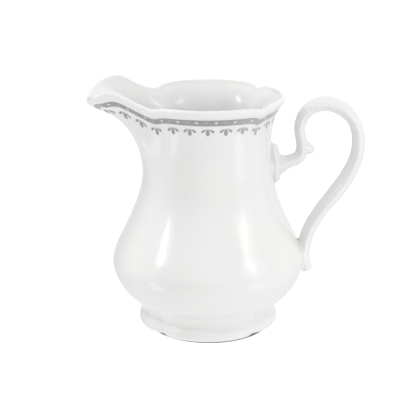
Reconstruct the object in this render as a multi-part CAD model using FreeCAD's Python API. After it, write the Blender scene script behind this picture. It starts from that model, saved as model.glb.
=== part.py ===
import FreeCAD, Part
import math
import os

from FreeCAD import Vector

# Porcelain cream jug.  Frame, millimetres: the origin is the centre of the foot ring's contact plane,
# +Z is up along the axis of the body, +X points to the handle and the spout points to -X.

# ---- driving dimensions -------------------------------------------------------------------------
WALL = 2.4                 # thickness of the cast wall
LIP_WALL = 2.2             # thickness of the rounded lip
LIP_Z = 95.2               # outer edge of the lip, before its rounding
WAIST_Z = 5.4              # crease between the foot and the belly
NECK_Z = 62.0              # height at which the spout starts to leave the neck

# Outside of the body as (radius, height), from the foot's contact edge to the lip.
PROFILE = [
    (27.7, 0.0), (28.7, 0.6), (29.1, 1.9), (28.8, 3.5), (27.7, WAIST_Z), (28.4, 7.4),
    (31.0, 11.0), (35.6, 15.9), (38.7, 21.5), (39.8, 27.5), (37.8, 34.0), (34.6, 40.7),
    (31.1, 48.5), (28.2, 56.6), (26.8, 65.0), (26.2, 73.5), (26.1, 80.5), (27.1, 87.0),
    (28.9, 91.3), (30.8, 93.8), (31.4, LIP_Z),
]
BELLY_ROW = 8              # row of PROFILE at which the inside leaves the floor's curve
FILLED_TOP_ROW = 16        # last row of PROFILE that the handle's side needs
FILLED_TOP_Z = 90.0

FLOOR_Z = 5.8              # top of the floor inside
FLOOR_CURVE = [(33.5, 17.2), (29.4, 12.6), (24.8, 9.2), (19.8, 6.8), (15.5, FLOOR_Z), (12.0, FLOOR_Z)]

RECESS_TOP_RADIUS = 21.5   # hollow under the base, inside the foot ring
RECESS_FOOT_RADIUS = 23.4
RECESS_DEPTH = 2.6

# Four furrows part the lobes of the rim and of the foot, halfway between handle, front, spout and back.
RIM_FURROW_WIDTH = 0.18
RIM_FURROW = 0.8
RIM_DROP = 1.7
RIM_FURROW_START = 70.0
FOOT_FURROW_WIDTH = 0.2
FOOT_FURROW = 1.9
FOOT_LIFT = 1.2
FOOT_FURROW_END = 10.0

# Shift of the lip at the spout, every 10 degrees away from its tip, as (outward, sideways, up).
SPOUT_STEP = 10.0
SPOUT_SHIFT = [
    (17.2, 0.0, -3.0), (17.6, 2.9, 0.4), (14.8, 4.4, 2.8), (10.1, 2.1, 4.8), (3.45, -1.0, 0.8),
    (0.0, 0.0, 0.0),
]

# The outward shift is complete at the lip in the spout's middle, but lower down on its flanks,
# which leaves an upright border there.  Between the two angles the one passes into the other.
FULL_SHIFT_MIDDLE = 1.0
FULL_SHIFT_FLANK = 0.71
FLANK_FROM = 12.0
FLANK_TO = 35.0
SHIFT_ROUNDING = 0.12      # share of the neck's height over which the shift settles
OUTWARD_POWER = 1.8
SIDEWAYS_POWER = 3.0
UP_POWER = 3.0
LIP_SHARE = 0.22           # share of the shift that turns outward only close to the lip
LIP_POWER = 7.0

AROUND = 72                # poles round the body
BETWEEN = 2                # poles from one row of an outline to the next

# Handle centre line as (x, z, half thickness, half depth), from the neck to the tail on the belly.
HANDLE = [
    (24.0, 67.2, 5.4, 4.8), (28.6, 67.4, 4.8, 4.5), (32.6, 68.4, 3.1, 3.8), (36.9, 70.2, 2.8, 3.4),
    (38.5, 73.8, 2.6, 3.3), (38.0, 78.2, 2.4, 3.2), (37.4, 83.0, 2.4, 3.2), (39.0, 88.0, 2.7, 3.3),
    (42.9, 91.7, 3.1, 3.6), (48.6, 92.8, 3.3, 3.8), (54.7, 90.5, 3.1, 3.7), (59.4, 85.6, 2.8, 3.7),
    (61.4, 79.0, 2.8, 3.8), (61.0, 71.2, 3.0, 4.0), (57.7, 62.9, 3.3, 4.1), (52.8, 55.4, 3.4, 4.1),
    (47.2, 48.1, 3.1, 4.0), (42.9, 40.9, 3.0, 3.8), (40.7, 34.5, 2.9, 3.5), (40.3, 29.0, 2.5, 3.1),
    (40.6, 25.2, 2.5, 2.9), (41.2, 22.6, 2.9, 2.8), (41.7, 21.0, 1.9, 2.0),
]
SPUR = [(38.0, 74.4, 4.2, 2.8), (40.2, 74.1, 3.2, 2.4), (42.0, 73.6, 2.1, 1.8), (43.6, 73.1, 1.2, 1.1)]
PLATE = [(26.8, 75.8, 1.5, 2.4), (27.3, 72.8, 2.1, 4.2), (27.7, 68.4, 2.6, 5.0), (28.0, 64.0, 2.1, 4.2),
         (28.3, 60.4, 1.4, 2.4)]
SECTION_POLES = 16         # poles round a section of the handle
SECTION_POWER = 1.35       # between a rhombus (1) and an ellipse (2)
SLIP_THICKNESS = 0.4       # clay slip that joins the handle to the body

# Prints under the rim, placed by their distance below the edge of the lip along the glaze.
BAND_TOP = 2.6
BAND_BOTTOM = 5.8
BAND_INSET = 0.3           # how far both edges of the band draw in over the spout
BAND_NARROW = 40.0         # degrees from the spout's middle within which the band is narrowest
BAND_EVEN = 85.0           # degrees from the spout's middle beyond which the band is full width
BAND_STEPS = 4
PRINT_THICKNESS = 0.08
PENDANT_TOP = 7.0
PENDANT_PITCH_ANGLE = 15.0
SPOUT_PENDANTS = 9         # pendants between the two furrows beside the spout
PENDANT_LENGTH = 3.4
# Petals of a pendant: (start sideways, start down, turn from straight down, length, half width).
PETALS = [(0.0, 0.0, 0.0, PENDANT_LENGTH, 0.78), (0.52, 0.35, 20.0, 1.2, 0.18), (-0.52, 0.35, -20.0, 1.2, 0.18),
          (0.84, 0.25, 43.0, 2.4, 0.5), (-0.84, 0.25, -43.0, 2.4, 0.5)]
PETAL_LOW = 1.8            # above 1, a petal is widest below its middle
PETAL_FULLNESS = 0.6       # below 1, a petal is rounder at its tip
PETAL_STEPS = 6
PENDANT_DEPTH = 0.25


# ---- general geometry ----------------------------------------------------------------------------
def value_at(rows, t):
    """Smooth (Catmull-Rom) value of a list of equal tuples at t, counted in rows."""
    last = len(rows) - 1
    k = max(0, min(int(t), last - 1))
    f = t - k
    p, q, r, s = (rows[min(max(i, 0), last)] for i in (k - 1, k, k + 1, k + 2))
    return [
        0.5 * (2 * b + (c - a) * f + (2 * a - 5 * b + 4 * c - d) * f ** 2 + (3 * b - a - 3 * c + d) * f ** 3)
        for a, b, c, d in zip(p, q, r, s)
    ]


def ease(t):
    """Smooth step from 0 at t = 0 to 1 at t = 1."""
    t = max(0.0, min(1.0, t))
    return t * t * (3.0 - 2.0 * t)


def ring_surface(rings):
    """Cubic surface whose poles are closed rings of points, one after another."""
    around = len(rings[0])
    count = len(rings)
    poles = [[ring[i] for ring in rings] for i in range(around)]
    end_mult = [4] + [1] * (count - 4) + [4]
    surface = Part.BSplineSurface()
    surface.buildFromPolesMultsKnots(
        poles, [1] * (around + 1), end_mult,
        list(range(around + 1)), list(range(len(end_mult))), True, False, 3, 3)
    return surface


def capped_solid(rings):
    """Solid inside a ring surface, closed by a flat face at its first and at its last ring."""
    surface = ring_surface(rings)
    low, high = surface.bounds()[2:]
    caps = [Part.Face(Part.Wire([surface.vIso(v).toShape()])) for v in (low, high)]
    shell = Part.Shell([surface.toShape()] + caps)
    shell.sewShape()
    solid = Part.Solid(shell)
    if solid.Volume < 0:
        solid.reverse()
    return solid


def angles(count):
    return [2.0 * math.pi * i / count for i in range(count)]


# ---- body ----------------------------------------------------------------------------------------
def furrow(theta, width):
    """1 in the four furrows between the lobes, close to 0 on the lobes."""
    return 1.0 / (1.0 + (math.cos(2.0 * theta) / width) ** 2)


def spout_shift(theta, height):
    """How far the spout carries a point of the neck: outward, sideways and up."""
    phi = math.degrees(math.atan2(math.sin(theta - math.pi), math.cos(theta - math.pi)))
    step = abs(phi) / SPOUT_STEP
    rise = max(0.0, min(1.0, (height - NECK_Z) / (LIP_Z - NECK_Z)))
    if step >= len(SPOUT_SHIFT) - 1 or rise == 0.0:
        return 0.0, 0.0, 0.0
    # An even function of the angle: the row before the tip mirrors the row after it.
    mirrored = [tuple(c * s for c, s in zip(SPOUT_SHIFT[1], (1, -1, 1)))] + SPOUT_SHIFT
    outward, sideways, up = value_at(mirrored, step + 1.0)
    flank = ease((abs(phi) - FLANK_FROM) / (FLANK_TO - FLANK_FROM))
    part = rise / (FULL_SHIFT_MIDDLE + (FULL_SHIFT_FLANK - FULL_SHIFT_MIDDLE) * flank)
    over = max(0.0, min(2.0 * SHIFT_ROUNDING, part - 1.0 + SHIFT_ROUNDING))
    part = min(part, 1.0 + SHIFT_ROUNDING) - over ** 2 / (4.0 * SHIFT_ROUNDING)
    lip_share = LIP_SHARE * (1.0 - flank)
    outward *= (1.0 - lip_share) * part ** OUTWARD_POWER + lip_share * rise ** LIP_POWER
    return outward, math.copysign(sideways, phi) * rise ** SIDEWAYS_POWER, up * rise ** UP_POWER


def outer_point(theta, row):
    """Point on the outside of the body at an angle round the axis and a row of PROFILE."""
    radius, height = value_at(PROFILE, row)
    rim_cut = furrow(theta, RIM_FURROW_WIDTH) * ease((height - RIM_FURROW_START) / (LIP_Z - RIM_FURROW_START))
    foot_cut = furrow(theta, FOOT_FURROW_WIDTH) * ease((FOOT_FURROW_END - height) / FOOT_FURROW_END)
    lift = min(height / 0.5, 1.0) * max(0.0, 1.0 - height / WAIST_Z)
    outward, sideways, up = spout_shift(theta, height)
    radius -= RIM_FURROW * rim_cut + FOOT_FURROW * foot_cut
    x = radius * math.cos(theta) - outward
    y = radius * math.sin(theta) - sideways
    z = height - RIM_DROP * rim_cut + FOOT_LIFT * lift * foot_cut + up
    return Vector(x, y, z)


def outer_normal(theta, row):
    """Outward direction of the outside of the body."""
    d = 0.01
    top = len(PROFILE) - 1
    round_axis = outer_point(theta + d, row) - outer_point(theta - d, row)
    upward = outer_point(theta, min(row + d, top)) - outer_point(theta, max(row - d, 0))
    return round_axis.cross(upward).normalize()


def offset_ring(row, distance):
    """Ring of points at a distance outside the body's outer face."""
    return [outer_point(a, row) + outer_normal(a, row) * distance for a in angles(AROUND)]


def outside_rings(offset=0.0):
    rows = (len(PROFILE) - 1) * BETWEEN
    return [offset_ring(i / BETWEEN, offset if i else 0.0) for i in range(rows + 1)]


def lip_rings():
    """Poles of the rounded lip, over the top from the outer to the inner edge."""
    top = len(PROFILE) - 1
    rings = []
    for turn in (45.0, 90.0, 135.0):
        across = 0.5 * LIP_WALL * (math.cos(math.radians(turn)) * 1.25 - 1.0)
        above = 0.5 * LIP_WALL * math.sin(math.radians(turn)) * 1.25
        ring = []
        for a in angles(AROUND):
            normal = outer_normal(a, top)
            upward = (outer_point(a, top) - outer_point(a, top - 0.05)).normalize()
            ring.append(outer_point(a, top) + normal * across + upward * above)
        rings.append(ring)
    return rings


def inside_rings():
    """Inner face from the lip down to the belly, then the floor's curve."""
    top = len(PROFILE) - 1
    rings = []
    for i in range((top - BELLY_ROW) * BETWEEN + 1):
        row = top - i / BETWEEN
        wall = LIP_WALL + (WALL - LIP_WALL) * min(1.0, i / BETWEEN)
        rings.append(offset_ring(row, -wall))
    for radius, height in FLOOR_CURVE:
        rings.append([Vector(radius * math.cos(a), radius * math.sin(a), height) for a in angles(AROUND)])
    return rings


def body():
    solid = capped_solid(outside_rings() + lip_rings() + inside_rings())
    recess = Part.makeCone(RECESS_FOOT_RADIUS, RECESS_TOP_RADIUS, RECESS_DEPTH)
    return solid.cut(recess)


def filled_body(offset):
    """Body below the rim without its hollow, grown by an offset: what the handle is trimmed to."""
    radius = PROFILE[FILLED_TOP_ROW][0] + offset
    top = [Vector(radius * math.cos(a), radius * math.sin(a), FILLED_TOP_Z) for a in angles(AROUND)]
    return capped_solid(outside_rings(offset)[:FILLED_TOP_ROW * BETWEEN + 1] + [top])


# ---- handle --------------------------------------------------------------------------------------
def section_ring(rows, t):
    """Rounded rhombus round the centre line, standing across it, at t counted in rows."""
    last = len(rows) - 1
    x, z, thick, deep = value_at(rows, t)
    ahead = value_at(rows, min(t + 0.05, last))
    behind = value_at(rows, max(t - 0.05, 0.0))
    along = Vector(ahead[0] - behind[0], 0.0, ahead[1] - behind[1]).normalize()
    across = Vector(-along.z, 0.0, along.x)
    ring = []
    for a in angles(SECTION_POLES):
        c, s = math.cos(a), math.sin(a)
        flat = math.copysign(abs(c) ** (2.0 / SECTION_POWER), c)
        side = math.copysign(abs(s) ** (2.0 / SECTION_POWER), s)
        ring.append(Vector(x, 0.0, z) + across * (flat * thick) + Vector(0.0, side * deep, 0.0))
    return ring


def bar(rows):
    """Solid swept along a centre line given as (x, z, half thickness, half depth)."""
    count = (len(rows) - 1) * BETWEEN
    return capped_solid([section_ring(rows, i / BETWEEN) for i in range(count + 1)])


def raw_handle():
    return bar(HANDLE).fuse([bar(SPUR), bar(PLATE)])


def handle_and_slip():
    """The handle trimmed clear of the body, and the layers of slip that join it on."""
    raw = raw_handle()
    grown = filled_body(SLIP_THICKNESS)
    handle = largest(raw.cut(grown))
    slip = raw.common(grown).cut(filled_body(0.0))
    middle = 0.5 * (NECK_Z + FOOT_FURROW_END)
    layers = [s for s in slip.Solids if s.Volume > 1.0]
    outside = [s for s in layers if s.CenterOfMass.x > 0.0]
    upper = [s for s in outside if s.CenterOfMass.z > middle]
    lower = [s for s in outside if s.CenterOfMass.z <= middle]
    return handle, upper, lower


def largest(shape):
    return max(shape.Solids, key=lambda s: s.Volume)


# ---- prints --------------------------------------------------------------------------------------
def row_below_lip(theta, distance):
    """Row of PROFILE that lies a distance below the lip's edge, measured along the body."""
    step = 0.02
    row = float(len(PROFILE) - 1)
    point = outer_point(theta, row)
    while distance > 0.0:
        row -= step
        lower = outer_point(theta, row)
        distance -= (point - lower).Length
        point = lower
    return row


def band_distance(theta, share):
    """Distance below the lip of a line along the band, from its bottom (share 0) to its top (1)."""
    from_spout = math.degrees(abs(math.atan2(math.sin(theta - math.pi), math.cos(theta - math.pi))))
    inset = BAND_INSET * ease((BAND_EVEN - from_spout) / (BAND_EVEN - BAND_NARROW))
    bottom = BAND_BOTTOM - inset
    top = BAND_TOP + inset
    return bottom + (top - bottom) * share


def band_ring(share, height):
    """Ring on the glaze along the band, raised by a height."""
    ring = []
    for a in angles(AROUND):
        row = row_below_lip(a, band_distance(a, share))
        ring.append(outer_point(a, row) + outer_normal(a, row) * height)
    return ring


def rim_band_print():
    """Printed band under the rim: a thin ring on the glaze."""
    shares = [i / BAND_STEPS for i in range(BAND_STEPS + 1)]
    outer = ring_surface([band_ring(share, PRINT_THICKNESS) for share in shares])
    inner = ring_surface([band_ring(share, 0.0) for share in shares])
    low, high = outer.bounds()[2:]
    edges = [Part.makeRuledSurface(outer.vIso(v).toShape(), inner.vIso(v).toShape()) for v in (low, high)]
    shell = Part.Shell([outer.toShape(), inner.toShape()] + edges)
    shell.sewShape()
    solid = Part.Solid(shell)
    if solid.Volume < 0:
        solid.reverse()
    return solid


def petal(start, drop, turn, length, half_width):
    """Flat teardrop in the XY plane that hangs from a place beside the origin, turned about it."""
    right = []
    for i in range(1, PETAL_STEPS):
        t = i / PETAL_STEPS
        width = half_width * math.sin(math.pi * t ** PETAL_LOW) ** PETAL_FULLNESS
        right.append(Vector(width, -length * t, 0))
    left = [Vector(-p.x, p.y, 0) for p in reversed(right)]
    points = [Vector(0, 0, 0)] + right + [Vector(0, -length, 0)] + left
    outline = Part.BSplineCurve()
    outline.interpolate(points, PeriodicFlag=True)
    face = Part.Face(Part.Wire([outline.toShape()]))
    face.rotate(Vector(0, 0, 0), Vector(0, 0, 1), turn)
    face.translate(Vector(start, -drop, 0))
    return face


def pendant(theta):
    """One palmette of five petals that hangs under the band, on the glaze at an angle."""
    row = row_below_lip(theta, PENDANT_TOP)
    base = outer_point(theta, row)
    middle = row_below_lip(theta, PENDANT_TOP + 0.5 * PENDANT_LENGTH)
    normal = outer_normal(theta, middle)
    upward = (base - outer_point(theta, middle)).normalize()
    sideways = upward.cross(normal).normalize()
    normal = sideways.cross(upward)
    start = base - normal * (0.5 * PENDANT_DEPTH)
    matrix = FreeCAD.Matrix(
        sideways.x, upward.x, normal.x, start.x,
        sideways.y, upward.y, normal.y, start.y,
        sideways.z, upward.z, normal.z, start.z,
        0, 0, 0, 1)
    petals = []
    for place_and_size in PETALS:
        solid = petal(*place_and_size).extrude(Vector(0, 0, PENDANT_DEPTH))
        solid.transformShape(matrix)
        petals.append(solid)
    return petals


def pendant_places():
    """Angles of the pendants: a steady pitch round the jug, and equal lengths over the spout."""
    steady = int(270.0 / PENDANT_PITCH_ANGLE)
    places = [math.radians(-135.0 + PENDANT_PITCH_ANGLE * i) for i in range(steady + 1)]
    fine = [math.radians(135.0 + 90.0 * i / 360) for i in range(361)]
    line = [outer_point(a, row_below_lip(a, PENDANT_TOP)) for a in fine]
    lengths = [0.0]
    for a, b in zip(line, line[1:]):
        lengths.append(lengths[-1] + (b - a).Length)
    pitch = lengths[-1] / (SPOUT_PENDANTS + 1)
    for k in range(1, SPOUT_PENDANTS + 1):
        nearest = next(i for i, total in enumerate(lengths) if total >= pitch * k)
        places.append(fine[nearest])
    return places


def pendant_prints():
    return [p for theta in pendant_places() for p in pendant(theta)]


# ---- files ---------------------------------------------------------------------------------------
def save(node, solids):
    shape = solids[0] if len(solids) == 1 else Part.makeCompound(solids)
    print(node, "solids", len(shape.Solids), "valid", shape.isValid(), "volume", round(shape.Volume, 1),
          "box", [round(v, 1) for v in (shape.BoundBox.XMin, shape.BoundBox.YMin, shape.BoundBox.ZMin,
                                        shape.BoundBox.XMax, shape.BoundBox.YMax, shape.BoundBox.ZMax)])
    shape.exportStep("parts/" + node + ".step")


os.makedirs("parts", exist_ok=True)
handle, upper_slip, lower_slip = handle_and_slip()
save("body", body().Solids)
save("handle", [handle])
save("handle_upper_slip", upper_slip)
save("handle_lower_slip", lower_slip)
save("rim_band_print", [rim_band_print()])
save("pendant_prints", pendant_prints())
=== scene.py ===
import math

import bmesh
import bpy
import numpy as np
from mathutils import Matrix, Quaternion, Vector


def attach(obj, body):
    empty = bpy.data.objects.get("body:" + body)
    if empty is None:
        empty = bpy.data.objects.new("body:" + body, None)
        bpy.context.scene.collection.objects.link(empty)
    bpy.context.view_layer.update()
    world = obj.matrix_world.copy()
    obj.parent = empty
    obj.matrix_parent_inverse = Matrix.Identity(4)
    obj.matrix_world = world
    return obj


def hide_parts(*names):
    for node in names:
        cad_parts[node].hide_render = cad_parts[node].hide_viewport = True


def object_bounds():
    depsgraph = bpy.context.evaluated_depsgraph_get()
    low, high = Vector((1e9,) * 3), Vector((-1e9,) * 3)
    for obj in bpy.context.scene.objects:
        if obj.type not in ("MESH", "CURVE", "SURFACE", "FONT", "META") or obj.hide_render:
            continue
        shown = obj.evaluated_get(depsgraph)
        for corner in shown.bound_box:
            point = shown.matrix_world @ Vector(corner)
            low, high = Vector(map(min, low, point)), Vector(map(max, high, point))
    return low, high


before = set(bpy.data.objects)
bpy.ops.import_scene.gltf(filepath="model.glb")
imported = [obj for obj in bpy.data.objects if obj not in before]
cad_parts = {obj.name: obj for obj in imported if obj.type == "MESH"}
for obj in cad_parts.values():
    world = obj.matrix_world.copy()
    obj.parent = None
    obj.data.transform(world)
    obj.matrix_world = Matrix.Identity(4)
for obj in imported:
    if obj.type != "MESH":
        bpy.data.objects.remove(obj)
cad_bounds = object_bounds()

# The jug's outlines are written in millimetres; MM turns them into the frame's metres.
MM = 0.001
FLOOR = cad_bounds[0].z

# ---- the jug's shape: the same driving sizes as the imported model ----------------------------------
WALL = 2.4                 # thickness of the cast wall
LIP_WALL = 2.2             # thickness of the rounded lip
LIP_Z = 95.2               # outer edge of the lip, before its rounding
WAIST_Z = 5.4              # crease between the foot and the belly
NECK_Z = 62.0              # height at which the spout starts to leave the neck

# Outside of the body as (radius, height), from the foot's contact edge to the lip.
PROFILE = np.array([
    (27.7, 0.0), (28.7, 0.6), (29.1, 1.9), (28.8, 3.5), (27.7, WAIST_Z), (28.4, 7.4),
    (31.0, 11.0), (35.6, 15.9), (38.7, 21.5), (39.8, 27.5), (37.8, 34.0), (34.6, 40.7),
    (31.1, 48.5), (28.2, 56.6), (26.8, 65.0), (26.2, 73.5), (26.1, 80.5), (27.1, 87.0),
    (28.9, 91.3), (30.8, 93.8), (31.4, LIP_Z),
])
TOP_ROW = len(PROFILE) - 1
BELLY_ROW = 8              # row of PROFILE at which the inside leaves the floor's curve
FLOOR_Z = 5.8              # top of the floor inside
FLOOR_CURVE = [(33.5, 17.2), (29.4, 12.6), (24.8, 9.2), (19.8, 6.8), (15.5, FLOOR_Z), (8.0, FLOOR_Z),
               (0.0, FLOOR_Z)]
# Underside from the middle out: shallow recess, inner wall of the foot ring, rounded contact edge.
UNDERSIDE = [(0.0, 2.45), (8.0, 2.5), (16.0, 2.6), (20.2, 2.6), (21.4, 2.25), (22.2, 1.3), (22.9, 0.4),
             (23.5, 0.06), (24.2, 0.0), (25.4, 0.0)]

# Four furrows part the lobes of the rim and of the foot, halfway between handle, front, spout and back.
RIM_FURROW_WIDTH = 0.18
RIM_FURROW = 0.8
RIM_DROP = 1.7
RIM_FURROW_START = 70.0
FOOT_FURROW_WIDTH = 0.2
FOOT_FURROW = 1.9
FOOT_LIFT = 1.2
FOOT_FURROW_END = 10.0

SPOUT_STEP = 10.0
# Spread of the spout at the lip, every SPOUT_STEP degrees from its middle: outward, sideways and up.
SPOUT_SHIFT = np.array([
    (17.2, 0.0, -3.0), (17.6, 2.9, 0.4), (14.8, 4.4, 2.8), (10.1, 2.1, 4.8), (3.45, -1.0, 0.8),
    (0.0, 0.0, 0.0),
])
# The outward spread is complete at this part of the neck's height: in the middle and on the flanks.
FULL_SPREAD_MIDDLE = 1.0
FULL_SPREAD_FLANK = 0.71
FLANK_FROM = 12.0
FLANK_TO = 35.0
SPREAD_ROUNDING = 0.12     # share of the neck's height over which the spread settles
OUTWARD_POWER = 1.8
LIP_SHARE = 0.22           # share of the spread that turns outward only close to the lip
LIP_POWER = 7.0
SIDEWAYS_POWER = 3.0
UP_POWER = 3.0

# Handle centre line as (x, z, half thickness, half depth), from the neck to the tail on the belly.
HANDLE = np.array([
    (24.0, 67.2, 5.4, 4.8), (28.6, 67.4, 4.8, 4.5), (32.6, 68.4, 3.1, 3.8), (36.9, 70.2, 2.8, 3.4),
    (38.5, 73.8, 2.6, 3.3), (38.0, 78.2, 2.4, 3.2), (37.4, 83.0, 2.4, 3.2), (39.0, 88.0, 2.7, 3.3),
    (42.9, 91.7, 3.1, 3.6), (48.6, 92.8, 3.3, 3.8), (54.7, 90.5, 3.1, 3.7), (59.4, 85.6, 2.8, 3.7),
    (61.4, 79.0, 2.8, 3.8), (61.0, 71.2, 3.0, 4.0), (57.7, 62.9, 3.3, 4.1), (52.8, 55.4, 3.4, 4.1),
    (47.2, 48.1, 3.1, 4.0), (42.9, 40.9, 3.0, 3.8), (40.7, 34.5, 2.9, 3.5), (40.3, 29.0, 2.5, 3.1),
    (40.6, 25.2, 2.5, 2.9), (41.2, 22.6, 2.9, 2.8), (41.7, 21.0, 1.9, 2.0),
])
SPUR = np.array([(38.0, 74.4, 4.2, 2.8), (40.2, 74.1, 3.2, 2.4), (42.0, 73.6, 2.1, 1.8),
                 (43.6, 73.1, 1.2, 1.1)])
PLATE = np.array([(26.8, 75.8, 1.5, 2.4), (27.3, 72.8, 2.1, 4.2), (27.7, 68.4, 2.6, 5.0),
                  (28.0, 64.0, 2.1, 4.2), (28.3, 60.4, 1.4, 2.4)])
SECTION_POWER = 1.35       # between a rhombus (1) and an ellipse (2)
# Where the handle meets the body it spreads along it, by FLARE_WIDTH at most, within FLARE_REACH of it.
FLARE_REACH = 1.5
FLARE_WIDTH = 1.1
FLARE_DEEPEST = 1.0        # deeper inside the body than this, nothing spreads

# Prints, by their distance below the edge of the lip along the glaze.
BAND_TOP = 2.6
BAND_BOTTOM = 5.8
# Both edges of the band draw in by BAND_INSET over the spout, and not at all BAND_EVEN degrees from it.
BAND_INSET = 0.3
BAND_NARROW = 40.0
BAND_EVEN = 85.0
PENDANT_TOP = 7.0
PENDANT_PITCH = 15.0       # degrees, away from the spout
SPOUT_PENDANTS = 9         # pendants between the two furrows beside the spout
# Petals of a pendant: (start sideways, start down, turn from straight down, length, half width).
PETALS = [(0.0, 0.0, 0.0, 3.4, 0.78), (0.52, 0.35, 20.0, 1.2, 0.18), (-0.52, 0.35, -20.0, 1.2, 0.18),
          (0.84, 0.25, 43.0, 2.4, 0.5), (-0.84, 0.25, -43.0, 2.4, 0.5)]
PETAL_LOW = 1.8            # above 1, a petal is widest below its middle
PETAL_FULLNESS = 0.6       # below 1, a petal is rounder at its tip
PRINT_RISE = 0.035         # half the thickness of a print, which lies centred on the glaze

# Density of the meshes: columns round the jug, and rings for each step of an outline.
AROUND = 360
LIP_SAMPLES = 7201
UNDERSIDE_STEPS = 5
OUTSIDE_STEPS = 6
INSIDE_STEPS = 4
FLOOR_STEPS = 5
LIP_TURN = 15.0            # degrees from one ring to the next over the rounded lip
BAR_AROUND = 48
SCROLL_STEPS = 10
SPUR_STEPS = 8
HANDLE_VOXEL = 0.32
HANDLE_SMOOTHING = 6
BAND_RINGS = 13
PETAL_ROWS = 15
PETAL_COLUMNS = 5


# ---- outlines and surfaces ------------------------------------------------------------------------
def value_at(rows, t):
    """Smooth (Catmull-Rom) value of the rows at t, counted in rows; t may be an array."""
    rows = np.asarray(rows, float)
    last = len(rows) - 1
    t = np.asarray(t, float)
    k = np.clip(t.astype(int), 0, last - 1)
    f = (t - k)[..., None]
    a, b, c, d = (rows[np.clip(i, 0, last)] for i in (k - 1, k, k + 1, k + 2))
    square, cube = 2 * a - 5 * b + 4 * c - d, 3 * b - a - 3 * c + d
    return 0.5 * (2 * b + (c - a) * f + square * f ** 2 + cube * f ** 3)


def ease(t):
    """0 to 1 with a level start and end."""
    t = np.clip(t, 0.0, 1.0)
    return t * t * (3.0 - 2.0 * t)


def unit(v):
    """Vectors at length 1."""
    return v / np.linalg.norm(v, axis=-1, keepdims=True)


def furrow(theta, width):
    """1 in the four furrows between the lobes, close to 0 on the lobes."""
    return 1.0 / (1.0 + (np.cos(2.0 * theta) / width) ** 2)


def spout_shift(theta, height):
    """How far the spout carries a point of the neck: outward, sideways and up."""
    phi = np.degrees(np.arctan2(np.sin(theta - math.pi), np.cos(theta - math.pi)))
    step = np.abs(phi) / SPOUT_STEP
    last = len(SPOUT_SHIFT) - 1
    mirrored = np.vstack([SPOUT_SHIFT[1] * (1, -1, 1), SPOUT_SHIFT])
    shift = value_at(mirrored, np.minimum(step, last) + 1.0) * (step < last)[..., None]
    rise = np.clip((height - NECK_Z) / (LIP_Z - NECK_Z), 0.0, 1.0)
    flank = ease((np.abs(phi) - FLANK_FROM) / (FLANK_TO - FLANK_FROM))
    part = rise / (FULL_SPREAD_MIDDLE + (FULL_SPREAD_FLANK - FULL_SPREAD_MIDDLE) * flank)
    over = np.clip(part - 1.0 + SPREAD_ROUNDING, 0.0, 2.0 * SPREAD_ROUNDING)
    part = np.minimum(part, 1.0 + SPREAD_ROUNDING) - over ** 2 / (4.0 * SPREAD_ROUNDING)
    lip_share = LIP_SHARE * (1.0 - flank)
    outward = shift[..., 0] * ((1.0 - lip_share) * part ** OUTWARD_POWER + lip_share * rise ** LIP_POWER)
    sideways = np.sign(phi) * shift[..., 1] * rise ** SIDEWAYS_POWER
    return outward, sideways, shift[..., 2] * rise ** UP_POWER


def outer_point(theta, row):
    """Points on the outside of the body, at angles round the axis and rows of PROFILE."""
    theta, row = np.broadcast_arrays(np.asarray(theta, float), np.asarray(row, float))
    radius, height = np.moveaxis(value_at(PROFILE, row), -1, 0)
    rim = furrow(theta, RIM_FURROW_WIDTH) * ease((height - RIM_FURROW_START) / (LIP_Z - RIM_FURROW_START))
    foot = furrow(theta, FOOT_FURROW_WIDTH) * ease((FOOT_FURROW_END - height) / FOOT_FURROW_END)
    lift = np.minimum(height / 0.5, 1.0) * np.maximum(0.0, 1.0 - height / WAIST_Z)
    outward, sideways, up = spout_shift(theta, height)
    radius = radius - RIM_FURROW * rim - FOOT_FURROW * foot
    return np.stack([
        radius * np.cos(theta) - outward,
        radius * np.sin(theta) - sideways,
        height - RIM_DROP * rim + FOOT_LIFT * lift * foot + up,
    ], -1)


def outer_normal(theta, row):
    """Outward direction of the outside of the body."""
    d = 0.01
    row = np.asarray(row, float)
    round_axis = outer_point(theta + d, row) - outer_point(theta - d, row)
    upward = outer_point(theta, np.minimum(row + d, TOP_ROW)) - outer_point(theta, np.maximum(row - d, 0))
    return unit(np.cross(round_axis, upward))


def body_angles():
    """Angles of the body's columns, evenly spaced along the lip, so the spout gets its share."""
    fine = np.linspace(-math.pi, math.pi, LIP_SAMPLES)
    lip = outer_point(fine, TOP_ROW)
    length = np.concatenate([[0.0], np.cumsum(np.linalg.norm(np.diff(lip, axis=0), axis=-1))])
    return np.interp(np.linspace(0.0, length[-1], AROUND, endpoint=False), length, fine)


def circle(radius, height, theta):
    """Points of a level ring round the axis."""
    return np.stack([radius * np.cos(theta), radius * np.sin(theta), np.full_like(theta, height)], -1)


# ---- meshes ---------------------------------------------------------------------------------------
def make_object(name, points, faces):
    mesh = bpy.data.meshes.new(name)
    mesh.from_pydata((np.asarray(points) * MM).tolist(), [], faces)
    mesh.validate()
    mesh.polygons.foreach_set("use_smooth", [True] * len(mesh.polygons))
    obj = bpy.data.objects.new(name, mesh)
    bpy.context.scene.collection.objects.link(obj)
    return obj


def ring_faces(rings, around, start=0, closed=True):
    """Quads between rings of points that follow one another."""
    i, j = np.meshgrid(np.arange(rings - 1), np.arange(around if closed else around - 1), indexing="ij")
    a = start + i * around + j
    b = start + i * around + (j + 1) % around
    return np.stack([a, b, b + around, a + around], -1).reshape(-1, 4).tolist()


def fix_normals(obj):
    """Turns all faces of a closed mesh outward."""
    bm = bmesh.new()
    bm.from_mesh(obj.data)
    bmesh.ops.recalc_face_normals(bm, faces=bm.faces)
    bm.to_mesh(obj.data)
    bm.free()


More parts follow.
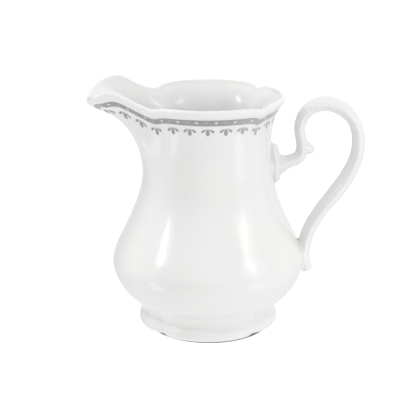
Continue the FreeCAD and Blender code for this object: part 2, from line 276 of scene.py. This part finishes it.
def jug_body():
    """The cast body as one closed skin: underside, outside, rounded lip, inside and floor."""
    theta = body_angles()
    rings = []
    for t in np.arange(1, (len(UNDERSIDE) - 1) * UNDERSIDE_STEPS + 1) / UNDERSIDE_STEPS:
        radius, height = value_at(UNDERSIDE, t)
        rings.append(circle(radius, height, theta))
    for row in np.arange(TOP_ROW * OUTSIDE_STEPS + 1) / OUTSIDE_STEPS:
        rings.append(outer_point(theta, row))
    edge = outer_point(theta, TOP_ROW)
    out = outer_normal(theta, TOP_ROW)
    up = unit(edge - outer_point(theta, TOP_ROW - 0.05))
    for turn in np.radians(np.arange(LIP_TURN, 180.0, LIP_TURN)):
        rings.append(edge + 0.5 * LIP_WALL * ((math.cos(turn) - 1.0) * out + math.sin(turn) * up))
    for i in range((TOP_ROW - BELLY_ROW) * INSIDE_STEPS + 1):
        row = TOP_ROW - i / INSIDE_STEPS
        wall = LIP_WALL + (WALL - LIP_WALL) * min(1.0, i / INSIDE_STEPS)
        rings.append(outer_point(theta, row) - wall * outer_normal(theta, row))
    last = rings[-1][0]
    floor = [(math.hypot(last[0], last[1]), last[2])] + FLOOR_CURVE
    for t in np.arange(1, (len(floor) - 1) * FLOOR_STEPS) / FLOOR_STEPS:
        radius, height = value_at(floor, t)
        rings.append(circle(radius, height, theta))
    points = np.concatenate(rings + [[(0.0, 0.0, UNDERSIDE[0][1])], [(0.0, 0.0, FLOOR_Z)]])
    faces = ring_faces(len(rings), AROUND)
    under, top = len(points) - 2, len(points) - 1
    first_of_last = (len(rings) - 1) * AROUND
    for j in range(AROUND):
        k = (j + 1) % AROUND
        faces.append([under, k, j])
        faces.append([top, first_of_last + j, first_of_last + k])
    obj = make_object("jug_body", points, faces)
    fix_normals(obj)
    return obj


def bar(rows, steps, around):
    """Points and faces of a closed bar swept along a centre line, with a rounded rhombus section."""
    last = len(rows) - 1
    theta = np.linspace(0.0, 2.0 * math.pi, around, endpoint=False)
    c, s = np.cos(theta), np.sin(theta)
    flat = np.sign(c) * np.abs(c) ** (2.0 / SECTION_POWER)
    side = np.sign(s) * np.abs(s) ** (2.0 / SECTION_POWER)
    rings = []
    for t in np.linspace(0.0, last, last * steps + 1):
        x, z, thick, deep = value_at(rows, t)
        ahead, behind = value_at(rows, min(t + 0.05, last)), value_at(rows, max(t - 0.05, 0.0))
        along = unit(ahead[:2] - behind[:2])
        across = np.array([-along[1], 0.0, along[0]])
        centre = np.array([x, 0.0, z])
        rings.append(centre + np.outer(flat * thick, across) + np.outer(side * deep, (0.0, 1.0, 0.0)))
    faces = ring_faces(len(rings), around)
    points = np.concatenate(rings)
    end = len(points) - around
    faces.append(list(range(around))[::-1])
    faces.append(list(range(end, end + around)))
    return points, faces


def neck_clearance(points):
    """Distance of points, in millimetres, outside the body's round side, and the direction outward."""
    table = value_at(PROFILE, np.linspace(0.0, TOP_ROW, 400))
    order = np.argsort(table[:, 1])
    height, radius = table[order, 1], table[order, 0]
    slope = np.gradient(radius, height)
    at = np.interp(points[:, 2], height, radius)
    lean = np.interp(points[:, 2], height, slope)
    flat = np.hypot(points[:, 0], points[:, 1])
    tilt = 1.0 / np.sqrt(1.0 + lean ** 2)
    out = np.stack([points[:, 0] / flat * tilt, points[:, 1] / flat * tilt, -lean * tilt], -1)
    return (flat - at) * tilt, out


def jug_handle():
    """The handle: scrolled strand, thumb spur and neck plate in one skin, flared at the body."""
    points, faces = [], []
    for rows, steps in ((HANDLE, SCROLL_STEPS), (SPUR, SPUR_STEPS), (PLATE, SCROLL_STEPS)):
        more, more_faces = bar(rows, steps, BAR_AROUND)
        start = sum(len(p) for p in points)
        points.append(more)
        faces += [[start + i for i in face] for face in more_faces]
    obj = make_object("jug_handle", np.concatenate(points), faces)
    fix_normals(obj)
    remesh = obj.modifiers.new("join", "REMESH")
    remesh.mode = "VOXEL"
    remesh.voxel_size = HANDLE_VOXEL * MM
    remesh.use_smooth_shade = True
    smooth = obj.modifiers.new("soften", "SMOOTH")
    smooth.factor = 0.5
    smooth.iterations = HANDLE_SMOOTHING
    apply_modifiers(obj)
    flare(obj)
    return obj


def apply_modifiers(obj):
    """Replaces an object's mesh with what its modifiers make of it."""
    bpy.context.view_layer.update()
    graph = bpy.context.evaluated_depsgraph_get()
    mesh = bpy.data.meshes.new_from_object(obj.evaluated_get(graph))
    obj.modifiers.clear()
    obj.data = mesh
    mesh.polygons.foreach_set("use_smooth", [True] * len(mesh.polygons))


def flare(obj):
    """Spreads the handle outward along the body where it meets it, as luted clay does under the glaze."""
    count = len(obj.data.vertices)
    co = np.zeros(count * 3)
    obj.data.vertices.foreach_get("co", co)
    points = co.reshape(-1, 3) / MM
    normal = np.zeros(count * 3)
    obj.data.vertex_normals.foreach_get("vector", normal)
    normal = normal.reshape(-1, 3)
    gap, out = neck_clearance(points)
    along = normal - out * np.sum(normal * out, -1, keepdims=True)
    amount = FLARE_WIDTH * np.clip(1.0 - gap / FLARE_REACH, 0.0, 1.0) ** 2 * (gap > -FLARE_DEEPEST)
    points = points + unit(along + 1e-6) * amount[:, None]
    obj.data.vertices.foreach_set("co", (points * MM).ravel())
    obj.data.update()


# ---- prints ---------------------------------------------------------------------------------------
class Glaze:
    """Places on the outside of the body by angle and by distance below the edge of the lip."""

    START = -225.0             # degrees; the table goes once round the jug from here
    ANGLES = 1441
    ROWS = 321
    LOWEST_ROW = 12.0          # row of PROFILE far enough below the prints

    def __init__(self):
        self.angle = np.radians(np.linspace(self.START, self.START + 360.0, self.ANGLES))
        self.rows = np.linspace(TOP_ROW, self.LOWEST_ROW, self.ROWS)
        grid = outer_point(self.angle[:, None], self.rows[None, :])
        steps = np.linalg.norm(np.diff(grid, axis=1), axis=-1)
        self.depth = np.concatenate([np.zeros((len(self.angle), 1)), np.cumsum(steps, 1)], 1)
        self.places = self.pendant_places()

    def row(self, theta, distance):
        """Row of PROFILE at each angle and distance below the lip."""
        turned = (np.degrees(theta) - self.START) % 360.0
        place = turned / 360.0 * (len(self.angle) - 1)
        k = np.clip(place.astype(int), 0, len(self.angle) - 2)
        f = place - k
        out = np.empty(theta.shape)
        for i in np.ndindex(theta.shape):
            depths = self.depth[k[i]] * (1 - f[i]) + self.depth[k[i] + 1] * f[i]
            out[i] = np.interp(distance[i], depths, self.rows)
        return out

    def point(self, theta, distance, rise):
        """Points raised above the glaze, at angles and distances below the lip."""
        theta, distance = np.broadcast_arrays(np.asarray(theta, float), np.asarray(distance, float))
        row = self.row(theta, distance)
        return outer_point(theta, row) + outer_normal(theta, row) * rise

    def length_table(self, distance):
        """Angles all the way round and the length of the line below the lip up to each."""
        line = self.point(self.angle, distance, 0.0)
        steps = np.linalg.norm(np.diff(line, axis=0), axis=-1)
        return self.angle, np.concatenate([[0.0], np.cumsum(steps)])

    def pendant_places(self):
        """Angles of the pendants: a steady pitch round the jug, and equal lengths over the spout."""
        steady = np.radians(np.arange(-135.0, 135.1, PENDANT_PITCH))
        angle, length = self.length_table(PENDANT_TOP)
        spout = angle <= math.radians(-135.0)
        span = length[spout][-1]
        marks = span * np.arange(1, SPOUT_PENDANTS + 1) / (SPOUT_PENDANTS + 1)
        return np.concatenate([np.interp(marks, length[spout], angle[spout]), steady])


def closed_patch(glaze_points, lower_points, rows, columns):
    """Closed thin solid from a grid of points on the glaze and the same grid sunk below it."""
    top = ring_faces(rows, columns, closed=False)
    under = [[i + rows * columns for i in face][::-1] for face in top]
    border = list(range(columns))
    border += [i * columns + columns - 1 for i in range(1, rows)]
    border += [(rows - 1) * columns + j for j in range(columns - 2, -1, -1)]
    border += [i * columns for i in range(rows - 2, 0, -1)]
    sides = []
    for a, b in zip(border, border[1:] + border[:1]):
        sides.append([b, a, a + rows * columns, b + rows * columns])
    return np.concatenate([glaze_points, lower_points]), top + under + sides


def petal_grid(start, drop, turn, length, half_width):
    """Teardrop petal as (along the ring, down) pairs, narrow where it hangs and round at its tip."""
    t = np.linspace(0.0, 1.0, PETAL_ROWS)
    across = np.linspace(-1.0, 1.0, PETAL_COLUMNS)
    width = half_width * np.sin(math.pi * np.clip(t, 0.02, 0.98) ** PETAL_LOW) ** PETAL_FULLNESS
    side = across[None, :] * width[:, None]
    down = np.broadcast_to(t[:, None] * length, side.shape)
    c, s = math.cos(math.radians(turn)), math.sin(math.radians(turn))
    return start + side * c + down * s, drop + down * c - side * s


def pendant_prints(glaze):
    """All palmettes under the band, each of five petals lying on the glaze."""
    angle, length = glaze.length_table(PENDANT_TOP)
    three_rounds = angle_lengths(length), angle_values(angle)
    points, faces, total = [], [], 0
    for theta in glaze.places:
        middle = np.interp(theta, angle, length)
        for petal in PETALS:
            along, down = petal_grid(*petal)
            at = np.interp(middle + along, *three_rounds)
            top = glaze.point(at, PENDANT_TOP + down, PRINT_RISE)
            low = glaze.point(at, PENDANT_TOP + down, -PRINT_RISE)
            rows, columns = along.shape
            more, more_faces = closed_patch(top.reshape(-1, 3), low.reshape(-1, 3), rows, columns)
            points.append(more)
            faces += [[total + i for i in face] for face in more_faces]
            total += len(more)
    return make_object("pendant_palmettes", np.concatenate(points), faces)


def angle_lengths(length):
    """Lengths along three rounds of the line, so that a petal may cross the table's ends."""
    return np.concatenate([length - length[-1], length[1:], length[1:] + length[-1]])


def angle_values(angle):
    """Angles along the same three rounds."""
    turn = 2.0 * math.pi
    return np.concatenate([angle - turn, angle[1:], angle[1:] + turn])


def band_distance(theta, share):
    """Distance below the lip of a line along the band, from its bottom (share 0) to its top (1)."""
    from_spout = np.degrees(np.abs(np.arctan2(np.sin(theta - math.pi), np.cos(theta - math.pi))))
    inset = BAND_INSET * ease((BAND_EVEN - from_spout) / (BAND_EVEN - BAND_NARROW))
    bottom, top = BAND_BOTTOM - inset, BAND_TOP + inset
    return bottom + (top - bottom) * share


def rim_band(glaze):
    """The printed band as a thin closed ring; its UVs count pendants along it and run 0 to 1 up it."""
    theta = body_angles()
    count = len(theta)
    turn = 2.0 * math.pi
    places = np.sort((glaze.places + math.pi) % turn - math.pi)
    marks = np.concatenate([places[-1:] - turn, places, places[:1] + turn])
    along = np.interp(np.append(theta, theta[0] + turn), marks, np.arange(len(marks)) - 1.0)
    shares = np.linspace(0.0, 1.0, BAND_RINGS)
    rings = [glaze.point(theta, band_distance(theta, share), PRINT_RISE) for share in shares]
    rings += [glaze.point(theta, band_distance(theta, share), -PRINT_RISE) for share in shares[::-1]]
    faces = ring_faces(len(rings), count)
    last = (len(rings) - 1) * count
    faces += [[last + j, last + (j + 1) % count, (j + 1) % count, j] for j in range(count)]
    obj = make_object("rim_band", np.concatenate(rings), faces)
    fix_normals(obj)
    layer = obj.data.uv_layers.new(name="print")
    height = np.concatenate([shares, shares[::-1]])
    for polygon in obj.data.polygons:
        wraps = {v % count for v in polygon.vertices} == {0, count - 1}
        for loop in polygon.loop_indices:
            vertex = obj.data.loops[loop].vertex_index
            column = vertex % count
            layer.data[loop].uv = (along[count if wraps and column == 0 else column], height[vertex // count])
    return obj


# ---- materials ------------------------------------------------------------------------------------
class Nodes:
    """Short way to add linked nodes to a material."""

    def __init__(self, name):
        self.material = bpy.data.materials.new(name)
        self.material.use_nodes = True
        self.tree = self.material.node_tree
        self.shader = self.tree.nodes["Principled BSDF"]

    def add(self, kind, **inputs):
        node = self.tree.nodes.new(kind)
        for key, value in inputs.items():
            self.set(node, key, value)
        return node

    def set(self, node, key, value):
        """Sets or links an input by its name, or by its number written as _0, _1 and so on."""
        socket = node.inputs[int(key[1:])] if key[0] == "_" and key[1:].isdigit() else node.inputs[key]
        if isinstance(value, bpy.types.NodeSocket):
            self.tree.links.new(value, socket)
        else:
            socket.default_value = value

    def math(self, operation, a, b=0.0):
        node = self.add("ShaderNodeMath", _0=a, _1=b)
        node.operation = operation
        return node.outputs[0]

    def mix(self, factor, a, b):
        node = self.tree.nodes.new("ShaderNodeMix")
        node.data_type = "RGBA"
        self.set(node, "_0", factor)
        self.set(node, "_6", a)
        self.set(node, "_7", b)
        return node.outputs[2]

    def place(self):
        return self.add("ShaderNodeTexCoord").outputs["Object"]

    def noise(self, scale, detail=2.0):
        return self.add("ShaderNodeTexNoise", Scale=scale, Detail=detail, Vector=self.place()).outputs["Fac"]

    def steps(self, value, low, high, to_low=0.0, to_high=1.0):
        """The value carried from one range to another, held at its ends."""
        node = self.add("ShaderNodeMapRange", Value=value)
        node.inputs["From Min"].default_value = low
        node.inputs["From Max"].default_value = high
        node.inputs["To Min"].default_value = to_low
        node.inputs["To Max"].default_value = to_high
        return node.outputs["Result"]

    def bump(self, height, strength, distance):
        node = self.add("ShaderNodeBump", Height=height, Strength=strength, Distance=distance)
        return node.outputs["Normal"]


WARM_WHITE = (0.808, 0.804, 0.792, 1.0)
COOL_WHITE = (0.798, 0.806, 0.8, 1.0)
BARE_WHITE = (0.80, 0.79, 0.77, 1.0)
PRINT_GREY = (0.365, 0.365, 0.37, 1.0)
PRINT_DARK = (0.305, 0.305, 0.31, 1.0)
PRINT_THIN = (0.45, 0.45, 0.455, 1.0)
RESERVE_WHITE = (0.66, 0.66, 0.655, 1.0)
DASH_GREY = (0.46, 0.46, 0.46, 1.0)
FLOOR_TONES = (0.24, 0.24, 0.24, 1.0), (0.26, 0.26, 0.26, 1.0)

COAT_ROUGHNESS = 0.06
COAT_IOR = 1.52
# Scales of the noise textures, from the slowest to the finest.
TINT_SCALE = 38.0
GLOSS_SCALE = 60.0
WAVE_SCALE = 120.0
PRINT_GLOSS_SCALE = 500.0
RIPPLE_SCALE = 900.0
GRAIN_SCALE = 1600.0
GRIT_SCALE = 2500.0
WAVE_STRENGTH = 0.25
WAVE_DEPTH = 0.0002        # metres
BARE_BELOW, GLAZED_ABOVE = 0.15, 0.45    # height above the floor at which the foot's glaze starts

# Marks in the band, as half sizes in shares of a pendant's pitch and of the band's width.
DIAMOND_HALF = 0.105, 0.28
DIAMOND_EDGE = 1.15, 0.75
DASH_HALF = 0.11, 0.16
DASH_EDGE = 1.2, 0.7
PATTERN_DRIFT = 5.07       # turns the band's pattern a little against the pendants
THIN_FROM, THIN_TO = 4.0, 20.0    # towards the handle, where the print grows thin

# Contact shadow painted on the floor: a dark disc a little narrower than the foot and set off its centre,
# then evenly glowing open floor.
PAINTED_SHADOW_STRETCH = (1.05, 1.0, 1.0)
PAINTED_SHADOW_CENTRE = (0.5, -2.0)
PAINTED_SHADOW_EDGE = (26.3, 27.1)
FLOOR_HALF = 3000.0


def glaze_finish(nodes, bare_foot=False):
    """Clear glossy glaze over white porcelain: slow drift of tint, faint waviness, fine ripples."""
    drift = nodes.steps(nodes.noise(TINT_SCALE, 1.0), 0.35, 0.65)
    colour = nodes.mix(drift, WARM_WHITE, COOL_WHITE)
    waves = nodes.noise(WAVE_SCALE, 1.0)
    ripples = nodes.noise(RIPPLE_SCALE, 2.0)
    height = nodes.math("ADD", waves, nodes.math("MULTIPLY", ripples, 0.12))
    normal = nodes.bump(height, WAVE_STRENGTH, WAVE_DEPTH)
    shader = nodes.shader
    shader.inputs["Specular IOR Level"].default_value = 0.25
    shader.inputs["Coat Roughness"].default_value = COAT_ROUGHNESS
    shader.inputs["Coat IOR"].default_value = COAT_IOR
    shader.inputs["Subsurface Weight"].default_value = 0.12
    shader.inputs["Subsurface Scale"].default_value = 0.002
    shader.inputs["Subsurface Radius"].default_value = (1.0, 0.9, 0.8)
    nodes.set(shader, "Coat Normal", normal)
    nodes.set(shader, "Roughness", nodes.steps(nodes.noise(GLOSS_SCALE, 2.0), 0.3, 0.7, 0.30, 0.42))
    if not bare_foot:
        nodes.set(shader, "Base Color", colour)
        shader.inputs["Coat Weight"].default_value = 1.0
        return
    place = nodes.add("ShaderNodeSeparateXYZ", Vector=nodes.place())
    glazed = nodes.steps(place.outputs["Z"], FLOOR + BARE_BELOW * MM, FLOOR + GLAZED_ABOVE * MM)
    grit = nodes.steps(nodes.noise(GRIT_SCALE, 2.0), 0.3, 0.7, 0.9, 1.0)
    bare = nodes.add("ShaderNodeVectorMath", _0=BARE_WHITE[:3])
    bare.operation = "SCALE"
    nodes.set(bare, "Scale", grit)
    nodes.set(shader, "Base Color", nodes.mix(glazed, bare.outputs[0], colour))
    nodes.set(shader, "Coat Weight", glazed)


def glazed_material(name, bare_foot=False):
    nodes = Nodes(name)
    glaze_finish(nodes, bare_foot)
    return nodes.material


def print_colour(nodes):
    """Grey ceramic colour with the faint grain of a transfer print, thinner towards the handle."""
    grain = nodes.steps(nodes.noise(GRAIN_SCALE, 3.0), 0.3, 0.7)
    place = nodes.add("ShaderNodeSeparateXYZ", Vector=nodes.place())
    thin = nodes.steps(place.outputs["X"], THIN_FROM * MM, THIN_TO * MM)
    return nodes.mix(thin, nodes.mix(grain, PRINT_GREY, PRINT_DARK), PRINT_THIN)


def print_finish(nodes, colour):
    """Printed colour under a thin, less shiny coat of glaze."""
    shader = nodes.shader
    nodes.set(shader, "Base Color", colour)
    nodes.set(shader, "Roughness", nodes.steps(nodes.noise(PRINT_GLOSS_SCALE, 2.0), 0.3, 0.7, 0.32, 0.45))
    nodes.set(shader, "Coat Normal", nodes.bump(nodes.noise(WAVE_SCALE, 1.0), WAVE_STRENGTH, WAVE_DEPTH))
    shader.inputs["Specular IOR Level"].default_value = 0.15
    shader.inputs["Coat Weight"].default_value = 0.4
    shader.inputs["Coat Roughness"].default_value = COAT_ROUGHNESS
    shader.inputs["Coat IOR"].default_value = COAT_IOR


def pendant_material():
    """Grey of the palmettes."""
    nodes = Nodes("grey_print_pendants")
    print_finish(nodes, print_colour(nodes))
    return nodes.material


def mark(nodes, sideways, up, half, edge):
    """1 inside a soft-edged rhombus of the given half sizes, 0 outside."""
    reach = nodes.math("ADD", nodes.math("DIVIDE", sideways, half[0]), nodes.math("DIVIDE", up, half[1]))
    return nodes.steps(reach, *edge)


def band_material():
    """Grey band with a pale diamond left out between pendants and a small dash above each."""
    nodes = Nodes("grey_print_band")
    uv = nodes.add("ShaderNodeUVMap")
    uv.uv_map = "print"
    place = nodes.add("ShaderNodeSeparateXYZ", Vector=uv.outputs["UV"])
    cell = nodes.math("FRACT", nodes.math("ADD", place.outputs["X"], PATTERN_DRIFT))
    up = nodes.math("ABSOLUTE", nodes.math("SUBTRACT", place.outputs["Y"], 0.5))
    from_middle = nodes.math("ABSOLUTE", nodes.math("SUBTRACT", cell, 0.5))
    diamond = mark(nodes, from_middle, up, DIAMOND_HALF, DIAMOND_EDGE)
    from_pendant = nodes.math("SUBTRACT", 0.5, from_middle)
    dash = mark(nodes, from_pendant, up, DASH_HALF, DASH_EDGE)
    colour = nodes.mix(dash, print_colour(nodes), DASH_GREY)
    colour = nodes.mix(diamond, colour, RESERVE_WHITE)
    print_finish(nodes, colour)
    return nodes.material


# ---- stage, lights and camera ---------------------------------------------------------------------
def stage_floor():
    """Plain pale floor, evenly glowing, with a contact shadow painted round the foot as a dark disc in its
    glow; it doesn't tint the jug.
    """
    half = FLOOR_HALF
    points = [(-half, -half, 0.0), (half, -half, 0.0), (half, half, 0.0), (-half, half, 0.0)]
    obj = make_object("floor", np.array(points) + (0.0, 0.0, FLOOR / MM), [[0, 1, 2, 3]])
    nodes = Nodes("pale_floor")
    tone = nodes.mix(nodes.noise(3.0, 1.0), *FLOOR_TONES)
    nodes.set(nodes.shader, "Base Color", tone)
    nodes.shader.inputs["Roughness"].default_value = 1.0
    nodes.shader.inputs["Specular IOR Level"].default_value = 0.0
    nodes.shader.inputs["Emission Color"].default_value = (1.0, 1.0, 1.0, 1.0)
    place = nodes.add("ShaderNodeVectorMath", _0=nodes.place())
    place.operation = "MULTIPLY"
    place.inputs[1].default_value = PAINTED_SHADOW_STRETCH
    reach = nodes.add("ShaderNodeVectorMath", _0=place.outputs["Vector"])
    reach.operation = "DISTANCE"
    reach.inputs[1].default_value = (PAINTED_SHADOW_CENTRE[0] * MM, PAINTED_SHADOW_CENTRE[1] * MM, FLOOR)
    # Painted contact shadow: the floor's glow falls to nothing inside a disc under the foot.
    glow_past_painted_shadow = nodes.steps(reach.outputs["Value"], PAINTED_SHADOW_EDGE[0] * MM, PAINTED_SHADOW_EDGE[1] * MM)
    nodes.set(nodes.shader, "Emission Strength", glow_past_painted_shadow)
    obj.data.materials.append(nodes.material)
    obj.visible_diffuse = False
    obj.visible_glossy = False
    obj.visible_shadow = False


# Lights are placed by azimuth (0 in front of the jug, positive to its right) and elevation in degrees.
WORLD_LEVEL = 1.01
# Soft lobes of the surroundings: (azimuth, elevation, change of brightness, sharpness).
WORLD_LOBES = [
    (-45.0, -8.0, -0.85, 5.0), (-95.0, 20.0, 0.6, 5.0), (60.0, 60.0, -0.25, 6.0),
    (0.0, 35.0, 0.25, 10.0), (180.0, 35.0, 0.25, 10.0), (-135.0, -5.0, -0.4, 6.0),
    (125.0, -30.0, -0.25, 5.0), (0.0, 80.0, 0.14, 4.0), (0.0, -62.0, 0.22, 5.0), (110.0, 15.0, 0.1, 8.0),
    (-125.0, 0.0, -0.2, 8.0),
]
# Softboxes: (name, azimuth, elevation, width, height, lean, brightness), angles in degrees.
SOFTBOXES = [
    ("left_soft", -67.0, 19.5, 14.0, 18.0, -50.0, 0.4),
    ("left_strip", -62.0, 23.5, 11.0, 15.0, -50.0, 1.3),
    ("left_window", -63.0, 27.0, 7.0, 16.0, -15.0, 3.3),
    ("left_low", -65.0, -24.0, 15.0, 26.0, 0.0, 1.2),
    ("right_wide", 57.0, 18.0, 26.0, 28.0, 40.0, 0.5),
    ("right_strip", 56.0, 21.5, 14.0, 18.0, 50.0, 0.9),
    ("right_core", 55.0, 22.0, 8.0, 12.0, 50.0, 1.4),
    ("right_low", 58.0, -20.0, 18.0, 28.0, 0.0, 0.9),
]
SOFTBOX_DISTANCE = 1.3


def direction(azimuth, elevation):
    """Unit vector from the jug towards an azimuth and elevation."""
    a, e = math.radians(azimuth), math.radians(elevation)
    return Vector((math.sin(a) * math.cos(e), -math.cos(a) * math.cos(e), math.sin(e)))


def soft_world():
    """Soft white surroundings, a little uneven the way a studio is."""
    world = bpy.data.worlds.new("studio")
    bpy.context.scene.world = world
    world.use_nodes = True
    tree = world.node_tree
    place = tree.nodes.new("ShaderNodeTexCoord").outputs["Generated"]
    level = None
    for azimuth, elevation, change, sharpness in WORLD_LOBES:
        dot = tree.nodes.new("ShaderNodeVectorMath")
        dot.operation = "DOT_PRODUCT"
        dot.inputs[1].default_value = direction(azimuth, elevation)
        tree.links.new(place, dot.inputs[0])
        front = tree.nodes.new("ShaderNodeMath")
        front.operation = "MAXIMUM"
        front.inputs[1].default_value = 0.0
        tree.links.new(dot.outputs["Value"], front.inputs[0])
        lobe = tree.nodes.new("ShaderNodeMath")
        lobe.operation = "POWER"
        lobe.inputs[1].default_value = sharpness
        tree.links.new(front.outputs[0], lobe.inputs[0])
        total = tree.nodes.new("ShaderNodeMath")
        total.operation = "MULTIPLY_ADD"
        total.inputs[1].default_value = change
        total.inputs[2].default_value = WORLD_LEVEL
        tree.links.new(lobe.outputs[0], total.inputs[0])
        if level is not None:
            tree.links.new(level, total.inputs[2])
        level = total.outputs[0]
    background = tree.nodes["Background"]
    background.inputs["Color"].default_value = (1.0, 1.0, 1.0, 1.0)
    tree.links.new(level, background.inputs["Strength"])


def softboxes():
    """Rectangular lights round the jug, each as bright as its brightness value seen from the jug."""
    aim = (cad_bounds[0] + cad_bounds[1]) / 2.0
    for name, azimuth, elevation, wide, high, lean, brightness in SOFTBOXES:
        data = bpy.data.lights.new(name, "AREA")
        data.shape = "RECTANGLE"
        data.size = 2.0 * SOFTBOX_DISTANCE * math.tan(math.radians(wide / 2.0))
        data.size_y = 2.0 * SOFTBOX_DISTANCE * math.tan(math.radians(high / 2.0))
        data.energy = brightness * math.pi * data.size * data.size_y
        obj = bpy.data.objects.new(name, data)
        bpy.context.scene.collection.objects.link(obj)
        away = direction(azimuth, elevation)
        obj.location = aim + away * SOFTBOX_DISTANCE
        obj.rotation_mode = "QUATERNION"
        turn = Quaternion((0.0, 0.0, 1.0), math.radians(lean))
        obj.rotation_quaternion = away.to_track_quat("Z", "Y") @ turn


# The camera looks at a point a little towards the spout and below the middle of the jug's box.
CAMERA_DISTANCE = 560.4
CAMERA_ELEVATION = 17.38
CAMERA_LENS = 115.75
CAMERA_SENSOR = 36.0
CAMERA_CLIP = 0.01, 50.0
AIM_FROM_MIDDLE = (-6.9, 0.0, -2.95)


def camera():
    """Camera in front of the jug, a little above it and level from side to side."""
    middle = (cad_bounds[0] + cad_bounds[1]) / 2.0
    aim = middle + Vector(AIM_FROM_MIDDLE) * MM
    data = bpy.data.cameras.new("camera")
    data.sensor_width = CAMERA_SENSOR
    data.lens = CAMERA_LENS
    data.clip_start, data.clip_end = CAMERA_CLIP
    obj = bpy.data.objects.new("camera", data)
    bpy.context.scene.collection.objects.link(obj)
    e = math.radians(CAMERA_ELEVATION)
    back = Vector((0.0, -math.cos(e), math.sin(e)))
    obj.location = aim + back * CAMERA_DISTANCE * MM
    obj.rotation_mode = "QUATERNION"
    obj.rotation_quaternion = back.to_track_quat("Z", "Y")
    bpy.context.scene.camera = obj


def stand_for(obj, material, slot, *nodes):
    """The piece rides on the body, takes a material and stands for its CAD nodes."""
    obj.data.materials.clear()
    obj.data.materials.append(material)
    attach(obj, "root")
    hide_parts(*nodes)


camera()
stage_floor()
soft_world()
softboxes()
bpy.context.scene.view_settings.view_transform = "Standard"

stand_for(jug_body(), glazed_material("glazed_porcelain_body", bare_foot=True), "glazed_porcelain", "body")
stand_for(jug_handle(), glazed_material("glazed_porcelain_handle"), "glazed_porcelain", "handle")
glaze_places = Glaze()
stand_for(rim_band(glaze_places), band_material(), "grey_print", "rim_band_print")
stand_for(pendant_prints(glaze_places), pendant_material(), "grey_print", "pendant_prints")
slip = glazed_material("glazed_slip")
for node in ("handle_upper_slip", "handle_lower_slip"):
    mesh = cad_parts[node].data
    mesh.materials.clear()
    mesh.materials.append(slip)
